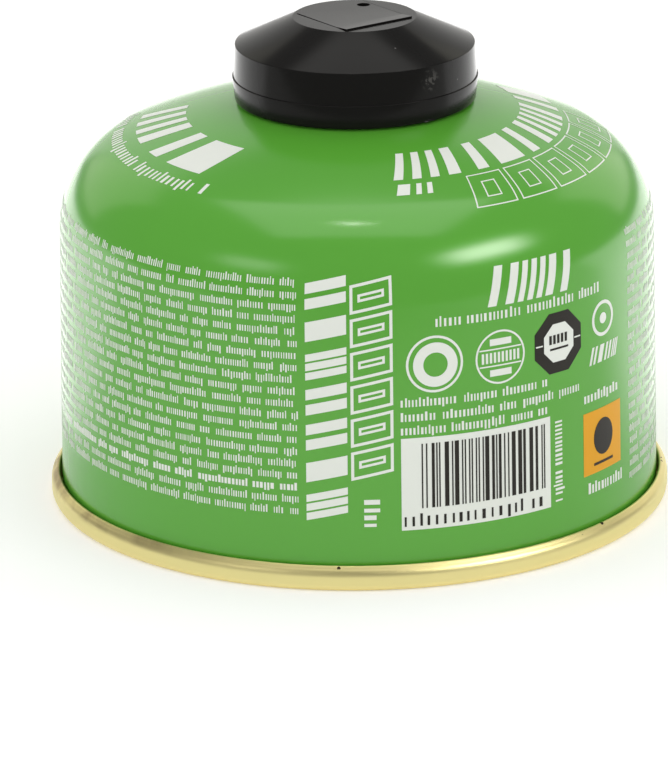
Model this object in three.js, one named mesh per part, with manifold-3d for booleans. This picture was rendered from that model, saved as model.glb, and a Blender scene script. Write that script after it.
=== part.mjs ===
// A small self-sealing fuel canister: a squat drawn steel can with a seamed-on base, a crimped valve and a cap.
// Millimetres, +Z up. The origin is the centre of the resting ring, on the surface that the canister stands on.
import * as THREE from 'three';
import { mergeVertices } from 'three/addons/utils/BufferGeometryUtils.js';
import Module from 'manifold-3d';

const wasm = await Module();
wasm.setup();

// Running gap between two touching pieces, and the play of a piece that slides
const seatGap = 0.3;
const slideGap = 0.1;

// Steps round a turned piece: large rings, the valve's rings and its small parts
const ringSteps = 52;
const cupSteps = 40;
const coreSteps = 20;

// Base end: its seam rolled round the can's foot, and its dished panel
const seamRadius = 45;
const seamHeight = 3.6;
const seamEdgeRadius = 0.95;
const seamWall = 1.25;
const channelWidth = 1.85;
const channelFloor = 0.5;
const footRadius = 0.4;
const endThickness = 0.45;
const panelRise = 8.6;
const panelShoulder = 3.7;
const panelRadius = 170;

// Can: wall, shoulder and dome up to the neck
const wallDraft = 0.7;
const wallTopHeight = 40.5;
const shoulderRadius = 13.85;
const domeSlope = THREE.MathUtils.degToRad(22.4);
const domeRadius = 100;

// Neck: the can's rolled lip, with the crimp groove below it
const lipOuterRadius = 15.5;
const lipInnerRadius = 12.9;
const lipHeight = 3.05;
const lipEdge = 0.5;
const crimpBulge = 0.6;
const crimpDepth = 1.2;
const cupWellDepth = 4.6;

// Valve cup: its curl over the lip, its floor and its threaded boss
const sheet = 0.4;
const gasketThickness = 0.5;
const gasketWidth = 1.5;
const curlSkirt = 1.9;
const curlEdge = 0.7;
const bossRadius = 5.55;
const bossWall = 0.75;
const bossHeight = 9.6;
const bossEdge = 0.5;
const bossRoof = 0.5;
const bossHoleRadius = 2.3;

// Valve inside the boss
const sealThickness = 1.3;
const sealHoleRadius = 1.9;
const stemNoseRadius = 1.5;
const stemNoseRise = 0.8;
const stemFlangeRadius = 3;
const stemFlangeHeight = 1.4;
const stemFootRadius = 1.5;
const stemBoreRadius = 0.6;
const stemTravel = 1.8;
const housingWall = 0.9;
const housingFloor = 1;
const housingDrop = 1.4;
const housingTail = 2.2;
const tailRadius = 2.6;
const inletRadius = 1;
const springWire = 0.5;
const springTurns = 5;
const springSteps = 12;

// Cap: lower band, ledge, upper band, cone and flat top
const capClearance = 0.3;
const capWall = 0.95;
const capFootLean = 0.3;
const capFootEdge = 0.3;
const ledgeHeight = 3.5;
const ledgeStep = 0.18;
const bandHeight = 4.65;
const bandLean = 0.28;
const coneHeight = 3.8;
const capTopRadius = 8.85;
const capTopWall = 1.1;
const snapBead = 0.12;
const snapBeadHeight = 0.8;

// Cap top: the square tongue, raised along its front right edge, and the vent beside it
const tongueRise = 0.35;
const tongueWidth = 11.5;
const tongueDepth = 11.9;
const tongueTurn = THREE.MathUtils.degToRad(36);
const ventRadius = 0.95;
const ventOffset = new THREE.Vector2(1.3, 5.9);

// Worked out from the sizes above: can foot and wall
const footOuterRadius = seamRadius - seamWall - seatGap;
const channelOuterRadius = seamRadius - seamWall;
const channelInnerRadius = channelOuterRadius - channelWidth;
const legInnerRadius = channelInnerRadius - endThickness;
const wallTopRadius = footOuterRadius - wallDraft;

// Worked out: dome, neck and lip
const wallTilt = Math.atan2(wallDraft, wallTopHeight);
const domeNormal = Math.PI / 2 - domeSlope;
const shoulderCentre = new THREE.Vector2(
  wallTopRadius - shoulderRadius * Math.cos(wallTilt),
  wallTopHeight - shoulderRadius * Math.sin(wallTilt),
);
const domeStart = polar(shoulderCentre, shoulderRadius, domeNormal);
const domeCentre = new THREE.Vector2(
  domeStart.x - domeRadius * Math.cos(domeNormal),
  domeStart.y - domeRadius * Math.sin(domeNormal),
);
const neckNormal = Math.acos((lipOuterRadius - domeCentre.x) / domeRadius);
const neckHeight = domeCentre.y + domeRadius * Math.sin(neckNormal);
const lipTop = neckHeight + lipHeight;

// Worked out: valve cup and valve
const wellFloor = lipTop - cupWellDepth;
const cupWallRadius = lipInnerRadius - seatGap;
const cupInnerRadius = cupWallRadius - sheet;
const curlUnder = lipTop + gasketThickness;
const curlTop = curlUnder + sheet;
const curlInnerRadius = lipOuterRadius + seatGap;
const curlRadius = curlInnerRadius + sheet;
const floorTop = wellFloor + seatGap + sheet;
const floorUnder = wellFloor + seatGap;
const bossTop = floorTop + bossHeight;
const roofUnder = bossTop - bossRoof;
const bossBoreRadius = bossRadius - bossWall;
const sealRadius = bossBoreRadius - slideGap;
const sealUnder = roofUnder - sealThickness;
const housingRadius = bossBoreRadius - slideGap;
const housingBore = housingRadius - housingWall;
const flangeTop = sealUnder - slideGap / 2;
const flangeUnder = flangeTop - stemFlangeHeight;
const housingUnder = floorUnder - housingDrop;
const housingSeat = housingUnder + housingFloor;
const stemFoot = housingSeat + stemTravel + seatGap;
const tailEnd = housingUnder - housingTail;
const springRadius = (stemFootRadius + housingBore) / 2;

// Worked out: cap
const capFoot = domeCentre.y + Math.sqrt(domeRadius ** 2 - (curlRadius + capWall - domeCentre.x) ** 2) + seatGap;
const capBore = curlRadius + capClearance;
const ledgeRadius = capBore + capWall + capFootLean / 2;
const capFootRadius = ledgeRadius - capFootLean;
const ledge = capFoot + ledgeHeight;
const bandFootRadius = ledgeRadius - ledgeStep;
const bandTopRadius = bandFootRadius - bandLean;
const bandTop = ledge + bandHeight;
const capTop = bandTop + coneHeight;
const capRoofUnder = capTop - capTopWall;

// A point on a circle, in the radius and height plane
function polar(centre, radius, angle) {
  return new THREE.Vector2(centre.x + radius * Math.cos(angle), centre.y + radius * Math.sin(angle));
}

// Points along an arc, both ends kept
function arc(centre, radius, from, to, steps) {
  const points = [];
  for (let i = 0; i <= steps; i += 1) {
    points.push(polar(centre, radius, from + ((to - from) * i) / steps));
  }
  return points;
}

function point(radius, height) {
  return new THREE.Vector2(radius, height);
}

// Turns a profile of radius and height about +Z. A profile off the axis is closed on itself.
function turned(profile, steps) {
  const onAxis = profile[0].x === 0;
  const outline = onAxis ? profile : [...profile, profile[0].clone()];
  const geometry = new THREE.LatheGeometry(outline, steps);
  geometry.rotateX(Math.PI / 2);
  return geometry;
}

function toSolid(geometry) {
  const bare = new THREE.BufferGeometry();
  bare.setAttribute('position', geometry.getAttribute('position').clone());
  bare.setIndex(geometry.getIndex());
  const merged = mergeVertices(bare, 1e-4);
  const mesh = new wasm.Mesh({
    numProp: 3,
    vertProperties: merged.getAttribute('position').array,
    triVerts: new Uint32Array(merged.getIndex().array),
  });
  mesh.merge();
  return new wasm.Manifold(mesh);
}

function toGeometry(solid) {
  const mesh = solid.getMesh();
  const geometry = new THREE.BufferGeometry();
  geometry.setAttribute('position', new THREE.BufferAttribute(mesh.vertProperties, mesh.numProp));
  geometry.setIndex(new THREE.BufferAttribute(mesh.triVerts, 1));
  geometry.computeVertexNormals();
  return geometry;
}

// The can and its contents: wall, shoulder, dome and rolled lip, with the well that the valve cup sits in
function canProfile() {
  const panelCentre = point(0, panelRise - panelRadius);
  const insideRadius = panelRadius + endThickness + seatGap;
  const insideEdge = channelInnerRadius + seatGap;
  const insideShoulder = panelShoulder + endThickness + seatGap;
  const panelReach = Math.acos((channelInnerRadius - endThickness) / insideRadius);
  const well = lipInnerRadius + crimpBulge;
  return [
    ...arc(panelCentre, insideRadius, Math.PI / 2, panelReach, 5),
    point(insideEdge, insideShoulder),
    point(insideEdge, channelFloor + seatGap),
    point(footOuterRadius, channelFloor + seatGap),
    ...arc(shoulderCentre, shoulderRadius, wallTilt, domeNormal, 8),
    ...arc(domeCentre, domeRadius, domeNormal, neckNormal, 4).slice(1),
    point(lipOuterRadius, lipTop - lipEdge),
    point(lipOuterRadius - lipEdge, lipTop),
    point(lipInnerRadius + lipEdge, lipTop),
    point(lipInnerRadius, lipTop - lipEdge),
    point(lipInnerRadius, lipTop - lipHeight * 0.6),
    point(well, lipTop - lipHeight * 0.6 - crimpBulge),
    point(well, lipTop - lipHeight * 0.6 - crimpBulge - crimpDepth / 2),
    point(lipInnerRadius, wellFloor),
    point(housingRadius + seatGap, wellFloor),
    point(housingRadius + seatGap, housingUnder - seatGap),
    point(tailRadius + seatGap, housingUnder - seatGap),
    point(tailRadius + seatGap, tailEnd - seatGap),
    point(0, tailEnd - seatGap),
  ];
}

// The base end: a dished panel, its countersink leg and the seam rolled up outside the can's foot
function baseProfile() {
  const panelCentre = point(0, panelRise - panelRadius);
  const reach = Math.acos((legInnerRadius - endThickness) / panelRadius);
  const topReach = Math.acos((channelInnerRadius - endThickness) / (panelRadius + endThickness));
  const seamEdge = point(seamRadius - seamEdgeRadius, seamEdgeRadius);
  const seamTop = point(seamRadius - seamEdgeRadius, seamHeight - seamEdgeRadius);
  return [
    ...arc(panelCentre, panelRadius, Math.PI / 2, reach, 5),
    point(legInnerRadius, panelShoulder),
    point(legInnerRadius, footRadius),
    point(legInnerRadius + footRadius, 0),
    ...arc(seamEdge, seamEdgeRadius, -Math.PI / 2, 0, 3),
    ...arc(seamTop, seamEdgeRadius, 0, Math.PI / 2, 3),
    point(channelOuterRadius, seamHeight - footRadius / 2),
    point(channelOuterRadius, channelFloor),
    point(channelInnerRadius, channelFloor),
    point(channelInnerRadius, panelShoulder + endThickness),
    ...arc(panelCentre, panelRadius + endThickness, topReach, Math.PI / 2, 5),
  ];
}

// The valve cup: curl over the lip, crimped wall, floor and the boss that a stove screws onto
function cupProfile() {
  const crimpTop = lipTop - lipHeight * 0.6 - seatGap;
  const crimpOuter = cupWallRadius + crimpBulge - seatGap / 2;
  const crimpFoot = crimpTop - crimpDepth;
  return [
    point(bossHoleRadius, roofUnder),
    point(bossBoreRadius, roofUnder),
    point(bossBoreRadius, floorUnder),
    point(cupInnerRadius, floorUnder),
    point(crimpOuter - seatGap, crimpFoot),
    point(crimpOuter, crimpTop - crimpDepth / 2),
    point(cupWallRadius, crimpTop),
    point(cupWallRadius, curlUnder),
    point(curlInnerRadius, curlUnder),
    point(curlInnerRadius, curlTop - curlSkirt),
    point(curlRadius, curlTop - curlSkirt),
    point(curlRadius, curlTop - curlEdge),
    point(curlRadius - curlEdge / 3, curlTop - curlEdge / 3),
    point(curlRadius - curlEdge, curlTop),
    point(cupInnerRadius + curlEdge, curlTop),
    point(cupInnerRadius, curlTop - curlEdge),
    point(cupInnerRadius, crimpTop),
    point(crimpOuter - sheet, crimpTop - crimpDepth / 2),
    point(cupInnerRadius - sheet, floorTop),
    point(bossRadius, floorTop),
    point(bossRadius, bossTop - bossEdge),
    point(bossRadius - bossEdge, bossTop),
    point(bossHoleRadius, bossTop),
  ];
}

// Rubber ring pinched between the lip and the curl
function gasketProfile() {
  const middle = (lipOuterRadius + lipInnerRadius) / 2;
  return [
    point(middle - gasketWidth / 2, lipTop),
    point(middle + gasketWidth / 2, lipTop),
    point(middle + gasketWidth / 2, curlUnder),
    point(middle - gasketWidth / 2, curlUnder),
  ];
}

// Valve seal: a washer under the boss's roof that the stem's flange closes
function sealProfile() {
  return [
    point(sealHoleRadius, sealUnder),
    point(sealRadius, sealUnder),
    point(sealRadius, roofUnder),
    point(sealHoleRadius, roofUnder),
  ];
}

// Housing: a cup that holds the seal up and the spring's foot, with a tail into the gas
function housingProfile() {
  return [
    point(inletRadius, tailEnd),
    point(tailRadius, tailEnd),
    point(tailRadius, housingUnder),
    point(housingRadius, housingUnder),
    point(housingRadius, sealUnder),
    point(housingBore, sealUnder),
    point(housingBore, housingSeat),
    point(inletRadius, housingSeat),
  ];
}

// Stem: the nose that a stove's pin pushes, the sealing flange and the foot inside the spring
function stemProfile() {
  return [
    point(0, stemFoot),
    point(stemFootRadius, stemFoot),
    point(stemFootRadius, flangeUnder),
    point(stemFlangeRadius, flangeUnder),
    point(stemFlangeRadius, flangeTop),
    point(stemNoseRadius, flangeTop),
    point(stemNoseRadius, flangeTop + stemNoseRise),
    point(stemBoreRadius, flangeTop + stemNoseRise),
    point(0, flangeTop + stemNoseRise - stemBoreRadius),
  ];
}

// Spring between the housing's floor and the flange, with a little room at both ends
function springGeometry() {
  const foot = housingSeat + springWire / 2 + slideGap;
  const head = flangeUnder - springWire / 2 - slideGap;
  const path = new THREE.Curve();
  path.getPoint = (t, target = new THREE.Vector3()) => {
    const angle = 2 * Math.PI * springTurns * t;
    return target.set(
      springRadius * Math.cos(angle),
      springRadius * Math.sin(angle),
      THREE.MathUtils.lerp(foot, head, t),
    );
  };
  const wire = new THREE.Shape();
  wire.absarc(0, 0, springWire / 2, 0, 2 * Math.PI);
  const settings = { steps: springTurns * springSteps, curveSegments: 3, extrudePath: path };
  return new THREE.ExtrudeGeometry(wire, settings);
}

// The cap's hollow shell, open below, with a small bead inside its mouth
function capShellProfile() {
  const coneSlope = Math.atan2(coneHeight, bandTopRadius - capTopRadius);
  const bandBore = bandTopRadius - capWall;
  const coneFoot = bandTop - capWall * Math.tan(coneSlope / 2);
  const roofRadius = bandBore - (capRoofUnder - coneFoot) / Math.tan(coneSlope);
  const beadHeight = curlTop - curlSkirt - seatGap;
  return [
    point(0, capRoofUnder),
    point(roofRadius, capRoofUnder),
    point(bandBore, coneFoot),
    point(capBore, curlTop),
    point(capBore, beadHeight),
    point(capBore - snapBead, beadHeight - snapBeadHeight / 2),
    point(capBore, beadHeight - snapBeadHeight),
    point(capBore, capFoot),
    point(capFootRadius - capFootEdge, capFoot),
    point(capFootRadius, capFoot + capFootEdge),
    point(ledgeRadius, ledge - ledgeStep),
    point(bandFootRadius, ledge),
    point(bandTopRadius, bandTop),
    point(capTopRadius, capTop),
    point(0, capTop),
  ];
}

// The tongue on the cap's top: a wedge, flush along its far left edge, cut to the round of the top
function tongueSolid() {
  const sunk = capTopWall / 2;
  const side = new THREE.Shape();
  side.moveTo(-tongueDepth / 2, -sunk);
  side.lineTo(tongueDepth / 2, -sunk);
  side.lineTo(tongueDepth / 2, 0);
  side.lineTo(-tongueDepth / 2, tongueRise);
  side.closePath();
  const wedge = new THREE.ExtrudeGeometry(side, { depth: tongueWidth, bevelEnabled: false });
  wedge.translate(0, 0, -tongueWidth / 2);
  wedge.rotateX(Math.PI / 2);
  wedge.rotateZ(Math.PI / 2 + tongueTurn);
  wedge.translate(0, 0, capTop);
  const round = new THREE.CylinderGeometry(capTopRadius, capTopRadius, 4 * capTopWall, ringSteps);
  round.rotateX(Math.PI / 2);
  round.translate(0, 0, capTop);
  return toSolid(wedge).intersect(toSolid(round));
}

function capGeometry() {
  const vent = new THREE.CylinderGeometry(ventRadius, ventRadius, 6 * capTopWall, coreSteps);
  vent.rotateX(Math.PI / 2);
  vent.translate(ventOffset.x, ventOffset.y, capTop);
  const shell = toSolid(turned(capShellProfile(), ringSteps));
  return toGeometry(shell.add(tongueSolid()).subtract(toSolid(vent)));
}

const paint = new THREE.MeshStandardMaterial({ color: 0x5aa546, roughness: 0.3, metalness: 0 });
const lacquer = new THREE.MeshStandardMaterial({ color: 0xd6c98f, roughness: 0.35, metalness: 0.9 });
const tinplate = new THREE.MeshStandardMaterial({ color: 0xc4c6c8, roughness: 0.35, metalness: 0.9 });
const rubber = new THREE.MeshStandardMaterial({ color: 0x2b2b2b, roughness: 0.8, metalness: 0 });
const acetal = new THREE.MeshStandardMaterial({ color: 0xe9e7df, roughness: 0.5, metalness: 0 });
const springSteel = new THREE.MeshStandardMaterial({ color: 0xa8abae, roughness: 0.3, metalness: 1 });
const blackPlastic = new THREE.MeshStandardMaterial({ color: 0x1b1b1c, roughness: 0.35, metalness: 0 });

const canister = new THREE.Group();

function place(name, geometry, material) {
  const mesh = new THREE.Mesh(geometry, material);
  mesh.name = name;
  canister.add(mesh);
}

place('can_body', turned(canProfile(), ringSteps), paint);
place('base_end', turned(baseProfile(), ringSteps), lacquer);
place('cup_gasket', turned(gasketProfile(), cupSteps), rubber);
place('valve_cup', turned(cupProfile(), cupSteps), tinplate);
place('valve_seal', turned(sealProfile(), coreSteps), rubber);
place('valve_housing', turned(housingProfile(), coreSteps), acetal);
place('valve_stem', turned(stemProfile(), coreSteps), acetal);
place('valve_spring', springGeometry(), springSteel);
place('cap', capGeometry(), blackPlastic);

export default canister;
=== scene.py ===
# Fuel canister: smooth shells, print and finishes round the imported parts. Sizes in mm, meshes in metres.
import math
import random

import bmesh
import bpy
from mathutils import Matrix, Vector


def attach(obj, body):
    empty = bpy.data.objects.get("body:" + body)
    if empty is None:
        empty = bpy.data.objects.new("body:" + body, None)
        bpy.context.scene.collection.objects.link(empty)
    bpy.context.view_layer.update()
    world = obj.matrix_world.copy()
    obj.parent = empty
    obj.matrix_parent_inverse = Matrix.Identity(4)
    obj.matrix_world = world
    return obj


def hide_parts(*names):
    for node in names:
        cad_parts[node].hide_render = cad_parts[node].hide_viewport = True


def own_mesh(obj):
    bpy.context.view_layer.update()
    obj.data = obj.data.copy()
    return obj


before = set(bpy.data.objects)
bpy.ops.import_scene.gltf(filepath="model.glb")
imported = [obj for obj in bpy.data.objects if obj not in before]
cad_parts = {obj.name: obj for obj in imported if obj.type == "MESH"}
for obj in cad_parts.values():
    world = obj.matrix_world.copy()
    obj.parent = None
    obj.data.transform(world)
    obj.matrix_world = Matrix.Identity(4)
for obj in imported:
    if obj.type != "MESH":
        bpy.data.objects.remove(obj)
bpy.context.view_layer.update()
mm = 0.001


# Camera, set from the rim, shoulder and cap edges of the photograph

view = {"distance": 750, "height": 272, "pitch": 18.88, "yaw": -0.272, "roll": -0.7, "lens": 256.4}


def addCamera():
    pitch, yaw, roll = (math.radians(view[key]) for key in ("pitch", "yaw", "roll"))
    forward = Vector((math.sin(yaw) * math.cos(pitch), math.cos(yaw) * math.cos(pitch), -math.sin(pitch)))
    right = forward.cross(Vector((0, 0, 1))).normalized()
    up = right.cross(forward)
    turn = Matrix((right, up, -forward)).transposed()
    lens = bpy.data.cameras.new("photoCamera")
    lens.lens = view["lens"]
    camera = bpy.data.objects.new("photoCamera", lens)
    camera.matrix_world = Matrix.Translation((0, -view["distance"] * mm, view["height"] * mm)) @ (
        turn @ Matrix.Rotation(roll, 3, "Z")
    ).to_4x4()
    bpy.context.scene.collection.objects.link(camera)
    bpy.context.scene.camera = camera


# Shader groups and materials

def addNode(tree, kind, **settings):
    node = tree.nodes.new(kind)
    for key, value in settings.items():
        if hasattr(node, key):
            setattr(node, key, value)
        else:
            node.inputs[key.replace("_", " ")].default_value = value
    return node


# A math node's output; each term is a socket or a plain number

def maths(tree, operation, *terms, **settings):
    node = addNode(tree, "ShaderNodeMath", operation=operation, **settings)
    for socket, term in zip(node.inputs, terms):
        if isinstance(term, (int, float)):
            socket.default_value = term
        else:
            tree.links.new(term, socket)
    return node.outputs[0]


def times(tree, first, second):
    return maths(tree, "MULTIPLY", first, second)


def ranged(tree, source, start, stop, top=1.0):
    span = addNode(tree, "ShaderNodeMapRange", interpolation_type="SMOOTHSTEP")
    span.inputs["From Min"].default_value = start
    span.inputs["From Max"].default_value = stop
    span.inputs["To Max"].default_value = top
    tree.links.new(source, span.inputs["Value"])
    return span.outputs[0]


def newGroup(name, inputs, outputs):
    tree = bpy.data.node_groups.new(name, "ShaderNodeTree")
    for label, kind, value in inputs:
        socket = tree.interface.new_socket(name=label, in_out="INPUT", socket_type=kind)
        socket.default_value = value
    for label, kind in outputs:
        tree.interface.new_socket(name=label, in_out="OUTPUT", socket_type=kind)
    return tree, tree.nodes.new("NodeGroupInput"), tree.nodes.new("NodeGroupOutput")


def mottleGroup():
    inputs = [("Colour", "NodeSocketColor", (1, 1, 1, 1)), ("Amount", "NodeSocketFloat", 0.05),
              ("Scale", "NodeSocketFloat", 40), ("Roughness", "NodeSocketFloat", 0.3),
              ("Roughness spread", "NodeSocketFloat", 0.05)]
    outputs = [("Colour", "NodeSocketColor"), ("Roughness", "NodeSocketFloat")]
    tree, start, end = newGroup("mottle", inputs, outputs)
    place = addNode(tree, "ShaderNodeTexCoord")
    noise = addNode(tree, "ShaderNodeTexNoise", Detail=4.0)
    tint = addNode(tree, "ShaderNodeHueSaturation")
    wire = tree.links.new
    wire(place.outputs["Object"], noise.inputs["Vector"])
    wire(start.outputs["Scale"], noise.inputs["Scale"])
    shift = maths(tree, "SUBTRACT", noise.outputs["Fac"], 0.5)
    strength = times(tree, shift, start.outputs["Amount"])
    wire(maths(tree, "ADD", strength, 1), tint.inputs["Value"])
    wire(start.outputs["Colour"], tint.inputs["Color"])
    wire(tint.outputs["Color"], end.inputs["Colour"])
    rough = maths(tree, "MULTIPLY_ADD", shift, start.outputs["Roughness spread"], start.outputs["Roughness"])
    wire(rough, end.inputs["Roughness"])
    return tree


mottle = mottleGroup()


def newMaterial(name, colour, roughness, metallic=0, coat=0, coatRoughness=0.05, grain=600, bump=0.1,
                depth=0.02, amount=0.06, spread=0.06, scale=60, specular=0.5):
    material = bpy.data.materials.new(name)
    material.use_nodes = True
    tree = material.node_tree
    wire = tree.links.new
    shader = tree.nodes["Principled BSDF"]
    shader.inputs["Metallic"].default_value = metallic
    shader.inputs["Coat Weight"].default_value = coat
    shader.inputs["Coat Roughness"].default_value = coatRoughness
    shader.inputs["Specular IOR Level"].default_value = specular
    tint = tree.nodes.new("ShaderNodeGroup")
    tint.node_tree = mottle
    tint.inputs["Colour"].default_value = (*colour, 1)
    tint.inputs["Amount"].default_value = amount
    tint.inputs["Scale"].default_value = scale
    tint.inputs["Roughness"].default_value = roughness
    tint.inputs["Roughness spread"].default_value = spread
    place = tree.nodes.new("ShaderNodeTexCoord")
    noise = addNode(tree, "ShaderNodeTexNoise", Scale=float(grain), Detail=3.0)
    relief = addNode(tree, "ShaderNodeBump", Strength=bump, Distance=depth * mm)
    wire(place.outputs["Object"], noise.inputs["Vector"])
    wire(noise.outputs["Fac"], relief.inputs["Height"])
    wire(relief.outputs["Normal"], shader.inputs["Normal"])
    wire(tint.outputs["Colour"], shader.inputs["Base Color"])
    wire(tint.outputs["Roughness"], shader.inputs["Roughness"])
    return material


greenEnamel = newMaterial("greenEnamel", (0.096, 0.374, 0.034), 0.19, grain=1400, bump=0.12, amount=0.04)
goldLacquer = newMaterial("goldLacquer", (0.87, 0.765, 0.36), 0.44, metallic=1, grain=500, bump=0.1,
                          amount=0.1)
blackPolyethylene = newMaterial("blackPolyethylene", (0.0085, 0.008, 0.0075), 0.17, grain=160, bump=0.1,
                                depth=0.03, spread=0.2, specular=0.115)
tinplate = newMaterial("tinplate", (0.66, 0.66, 0.67), 0.28, metallic=1, grain=900, bump=0.1)
blackRubber = newMaterial("blackRubber", (0.02, 0.02, 0.02), 0.6, grain=1500, bump=0.2)
ivoryAcetal = newMaterial("ivoryAcetal", (0.78, 0.76, 0.68), 0.4, grain=900, bump=0.1)
springWire = newMaterial("springWire", (0.5, 0.5, 0.52), 0.25, metallic=1)
whiteInk = newMaterial("whiteInk", (0.78, 0.81, 0.75), 0.34, grain=1800, bump=0.1, amount=0.04)
darkInk = newMaterial("darkInk", (0.018, 0.015, 0.011), 0.4, grain=1800, bump=0.1, specular=0.25)
orangeInk = newMaterial("orangeInk", (0.77, 0.36, 0.012), 0.4, grain=1800, bump=0.1, specular=0.25)


# A marked finish: the base colour turns to another one where a mask of 0 to 1 says so

def addMark(material, colour, mask):
    tree = material.node_tree
    shader = tree.nodes["Principled BSDF"]
    source = shader.inputs["Base Color"].links[0].from_socket
    blend = addNode(tree, "ShaderNodeMix", data_type="RGBA")
    blend.inputs["B"].default_value = (*colour, 1)
    tree.links.new(source, blend.inputs["A"])
    tree.links.new(mask, blend.inputs["Factor"])
    tree.links.new(blend.outputs["Result"], shader.inputs["Base Color"])


def specksGroup():
    inputs = [("Scale", "NodeSocketFloat", 260), ("Size", "NodeSocketFloat", 0.07),
              ("Rarity", "NodeSocketFloat", 0.8)]
    tree, start, stop = newGroup("specks", inputs, [("Mask", "NodeSocketFloat")])
    place = tree.nodes.new("ShaderNodeTexCoord")
    cells = addNode(tree, "ShaderNodeTexVoronoi")
    axes = tree.nodes.new("ShaderNodeSeparateXYZ")
    tree.links.new(place.outputs["Object"], cells.inputs["Vector"])
    tree.links.new(start.outputs["Scale"], cells.inputs["Scale"])
    tree.links.new(cells.outputs["Color"], axes.inputs[0])
    dot = maths(tree, "LESS_THAN", cells.outputs["Distance"], start.outputs["Size"])
    few = maths(tree, "GREATER_THAN", axes.outputs["X"], start.outputs["Rarity"])
    tree.links.new(times(tree, dot, few), stop.inputs["Mask"])
    return tree


specks = specksGroup()


def addSpecks(material, colour, scale, size, rarity, where=None):
    tree = material.node_tree
    cells = tree.nodes.new("ShaderNodeGroup")
    cells.node_tree = specks
    cells.inputs["Scale"].default_value = scale
    cells.inputs["Size"].default_value = size
    cells.inputs["Rarity"].default_value = rarity
    mask = cells.outputs["Mask"]
    addMark(material, colour, times(tree, mask, where) if where else mask)


# Wear: sizes are in m, as the shaders read them

stain = {"colour": (0.30, 0.21, 0.11), "scale": 130.0, "blotch": (0.36, 0.6), "heights": (0.0019, 0.0033),
         "across": (-0.016, -0.042), "most": 0.75}
scuff = {"colour": (0.2, 0.19, 0.18), "place": (0.0106, -0.0136, 0.0648), "reach": (0.0019, 0.0006),
         "scale": 1500.0, "scratch": (0.5, 0.6), "most": 0.26}
chips = {"colour": (0.05, 0.035, 0.02), "scale": 700, "size": 0.2, "rarity": 0.86}
chipHeights = (0.0031, 0.0033)
dust = {"colour": (0.11, 0.107, 0.103), "scale": 330, "size": 0.065, "rarity": 0.7}
flecks = {"colour": (0.035, 0.14, 0.02), "scale": 150, "size": 0.028, "rarity": 0.84}


# Brown stains along the top of the seam, heaviest on the left, and dark chips on its edge

def stainSeam():
    tree = goldLacquer.node_tree
    place = tree.nodes.new("ShaderNodeTexCoord").outputs["Object"]
    axes = tree.nodes.new("ShaderNodeSeparateXYZ")
    tree.links.new(place, axes.inputs[0])
    noise = addNode(tree, "ShaderNodeTexNoise", Scale=stain["scale"], Detail=5.0)
    tree.links.new(place, noise.inputs["Vector"])
    blotch = ranged(tree, noise.outputs["Fac"], *stain["blotch"])
    top = ranged(tree, axes.outputs["Z"], *stain["heights"])
    left = ranged(tree, axes.outputs["X"], *stain["across"], stain["most"])
    addMark(goldLacquer, stain["colour"], times(tree, times(tree, blotch, top), left))
    addSpecks(goldLacquer, **chips, where=ranged(tree, axes.outputs["Z"], *chipHeights))


# Dust specks and one scuff on the cap, and a few dark flecks in the paint

def scuffCap():
    tree = blackPolyethylene.node_tree
    place = tree.nodes.new("ShaderNodeTexCoord").outputs["Object"]
    addSpecks(blackPolyethylene, **dust)
    reach = addNode(tree, "ShaderNodeVectorMath", operation="DISTANCE")
    reach.inputs[1].default_value = scuff["place"]
    tree.links.new(place, reach.inputs[0])
    patch = ranged(tree, reach.outputs["Value"], *scuff["reach"])
    noise = addNode(tree, "ShaderNodeTexNoise", Scale=scuff["scale"], Detail=3.0)
    tree.links.new(place, noise.inputs["Vector"])
    scratch = ranged(tree, noise.outputs["Fac"], *scuff["scratch"], scuff["most"])
    addMark(blackPolyethylene, scuff["colour"], times(tree, patch, scratch))
    addSpecks(greenEnamel, **flecks)


stainSeam()
scuffCap()
print("materials made")


# Profiles, as points of radius and height in mm

def polar(centre, radius, angle):
    return (centre[0] + radius * math.cos(angle), centre[1] + radius * math.sin(angle))


def arc(centre, radius, start, end, steps):
    return [polar(centre, radius, start + (end - start) * i / steps) for i in range(steps + 1)]


# Makes a mesh piece of a bmesh, with smooth faces between its sharp edges

def finished(name, shape, material, body, sharpAngle=32):
    bmesh.ops.recalc_face_normals(shape, faces=shape.faces)
    mesh = bpy.data.meshes.new(name)
    shape.to_mesh(mesh)
    shape.free()
    mesh.shade_smooth()
    mesh.set_sharp_from_angle(angle=math.radians(sharpAngle))
    mesh.materials.append(material)
    piece = bpy.data.objects.new(name, mesh)
    bpy.context.scene.collection.objects.link(piece)
    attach(piece, body)
    return piece


# Turns a profile about the can's axis; a profile that starts off the axis is closed on itself

def spunShape(profile, steps):
    shape = bmesh.new()
    corners = [shape.verts.new((radius * mm, 0, height * mm)) for radius, height in profile]
    runs = list(zip(corners, corners[1:]))
    if profile[0][0] > 0:
        runs.append((corners[-1], corners[0]))
    edges = [shape.edges.new(run) for run in runs]
    bmesh.ops.spin(shape, geom=corners + edges, cent=(0, 0, 0), axis=(0, 0, 1), dvec=(0, 0, 0),
                   angle=2 * math.pi, steps=steps, use_merge=True, use_duplicate=False)
    bmesh.ops.remove_doubles(shape, verts=shape.verts, dist=1e-7)
    return shape


# Can: the green shell, from its foot in the seam to the rolled lip under the valve cup

can = {"footRadius": 43.45, "footHeight": 0.8, "wallDraft": 0.7, "wallTop": 40.5, "shoulder": 13.85,
       "domeSlope": 22.4, "dome": 100, "lipOuter": 15.5, "lipInner": 12.9, "lipHeight": 3.05, "lipEdge": 0.7,
       "wellDepth": 4.6, "bulge": 0.6, "bulgeDepths": (1.8, 2.4, 3), "housingHole": 5, "housingDrop": 1.7,
       "housingFoot": 4, "steps": 240}

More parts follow.
